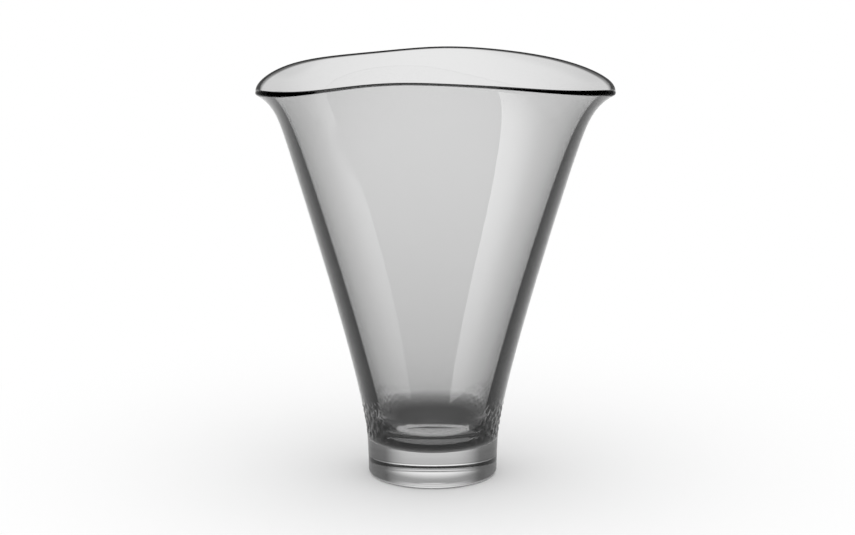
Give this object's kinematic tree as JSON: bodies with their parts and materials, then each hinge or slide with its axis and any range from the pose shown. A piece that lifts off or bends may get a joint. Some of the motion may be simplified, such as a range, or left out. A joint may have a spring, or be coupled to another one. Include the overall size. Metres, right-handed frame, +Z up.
{
  "type": "fan vase",
  "caption": "Hand-made glass vase: a thin smoky bowl, round below and fanned out to a wide oval mouth with a wavy drooping lip, fused on a heavy clear glass base.",
  "frame": {"origin": "on the table, in the axis of the round base", "axes": "+Z up out of the mouth, +X along the mouth's long side, -Y the side that faces the viewer"},
  "size_m": [0.2546, 0.138, 0.2992],
  "materials": {
    "smoky_glass": "polished",
    "clear_glass": "polished"
  },
  "bodies": {
    "root": {"bowl": "smoky_glass", "base": "clear_glass"}
  },
  "joints": []
}
